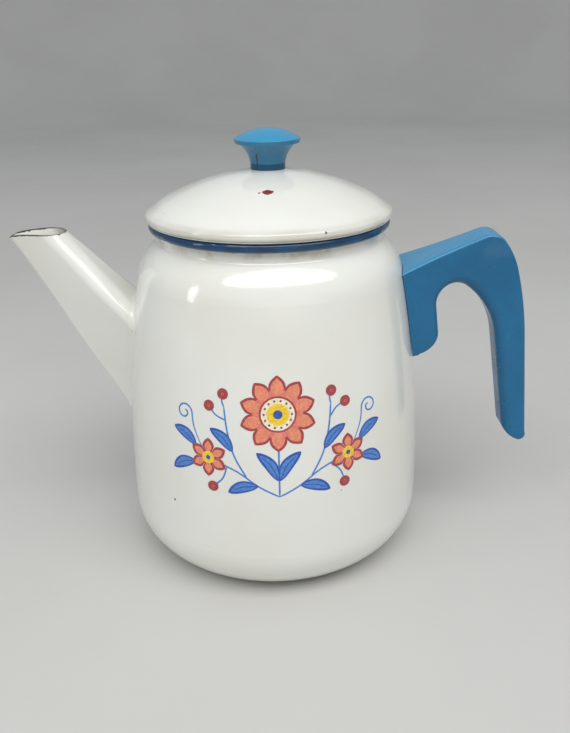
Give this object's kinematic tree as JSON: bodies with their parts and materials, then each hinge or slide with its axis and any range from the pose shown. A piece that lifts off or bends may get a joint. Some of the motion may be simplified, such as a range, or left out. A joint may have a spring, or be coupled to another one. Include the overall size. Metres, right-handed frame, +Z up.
{
  "type": "coffee percolator",
  "caption": "Enamelled stove-top coffee pot with a long pouring spout, hooked side handle, domed lid with knob and a lift-out pump tube with coffee basket.",
  "frame": {"origin": "on the pot's axis, in the plane of the flat base it stands on", "axes": "+Z up along the pot's axis, spout towards -X, handle towards +X"},
  "size_m": [0.2402, 0.14, 0.196],
  "materials": {
    "pot_enamel": "glossy ivory enamel, blue bead",
    "spout_enamel": "glossy ivory enamel",
    "bracket_enamel": "enamelled steel",
    "handle_blue": "glossy moulded plastic",
    "handle_screw_steel": "plated steel",
    "handle_washer_steel": "plated steel",
    "lid_enamel": "glossy ivory enamel",
    "skirt_enamel": "glossy ivory enamel",
    "knob_blue": "glossy moulded plastic",
    "insert_brass": "turned brass",
    "knob_screw_steel": "plated steel",
    "knob_washer_steel": "plated steel",
    "gasket_rubber": "matt rubber",
    "tube_aluminium": "drawn aluminium",
    "foot_aluminium": "spun aluminium",
    "retainer_aluminium": "pressed aluminium",
    "valve_steel": "stainless disc",
    "stop_aluminium": "turned aluminium",
    "basket_aluminium": "spun aluminium",
    "spreader_aluminium": "spun aluminium"
  },
  "bodies": {
    "pot": {"pot_body": "pot_enamel", "spout": "spout_enamel", "handle_bracket": "bracket_enamel", "handle_grip": "handle_blue", "handle_screw": "handle_screw_steel", "handle_washer": "handle_washer_steel"},
    "lid": {"lid_shell": "lid_enamel", "lid_skirt": "skirt_enamel", "lid_knob": "knob_blue", "knob_insert": "insert_brass", "knob_screw": "knob_screw_steel", "knob_washer": "knob_washer_steel", "knob_gasket": "gasket_rubber"},
    "pump": {"pump_tube": "tube_aluminium", "pump_foot": "foot_aluminium", "valve_retainer": "retainer_aluminium", "basket_stop": "stop_aluminium"},
    "valve": {"foot_valve": "valve_steel"},
    "basket": {"coffee_basket": "basket_aluminium"},
    "spreader": {"basket_spreader": "spreader_aluminium"}
  },
  "joints": [
    {"name": "lid_lift", "type": "slide", "parent": "pot", "child": "lid", "axis": [0, 0, 1], "range_m": [0, 0.36]},
    {"name": "pump_lift", "type": "slide", "parent": "pot", "child": "pump", "axis": [0, 0, 1], "range_m": [0, 0.18]},
    {"name": "valve_slide", "type": "slide", "parent": "pump", "child": "valve", "axis": [0, 0, 1], "range_m": [0, 0.003]},
    {"name": "basket_lift", "type": "slide", "parent": "pump", "child": "basket", "axis": [0, 0, 1], "range_m": [0, 0.072]},
    {"name": "spreader_lift", "type": "slide", "parent": "basket", "child": "spreader", "axis": [0, 0, 1], "range_m": [0, 0.054]}
  ],
  "couplings": [
    {"joint": "pump_lift", "follows": "lid_lift", "ratio": 0.5},
    {"joint": "basket_lift", "follows": "lid_lift", "ratio": 0.2},
    {"joint": "spreader_lift", "follows": "lid_lift", "ratio": 0.15}
  ]
}
